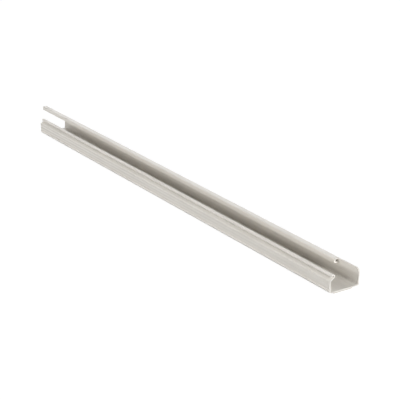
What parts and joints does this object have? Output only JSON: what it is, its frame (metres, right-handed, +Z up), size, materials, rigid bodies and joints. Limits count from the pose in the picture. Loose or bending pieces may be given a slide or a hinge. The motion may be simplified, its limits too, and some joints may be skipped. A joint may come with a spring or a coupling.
{
  "type": "pvc cable raceway",
  "caption": "Long open PVC cable raceway base with a hooked wall, a taller lipped wall, a lip tongue at one end and an adhesive tape back.",
  "frame": {"origin": "bottom centre of the whole part, on the surface the tape lies on", "axes": "+X along the extrusion, towards the end where the lip is cut back; +Y from the short hooked wall to the tall lipped wall; +Z up, out of the channel"},
  "size_m": [1.003, 0.0572, 0.0307],
  "materials": {
    "rigid_pvc": "satin extruded rigid PVC, warm light grey",
    "foam_tape": "matt closed-cell foam mounting tape"
  },
  "bodies": {
    "root": {"raceway_base": "rigid_pvc", "adhesive_tape": "foam_tape"}
  },
  "joints": []
}
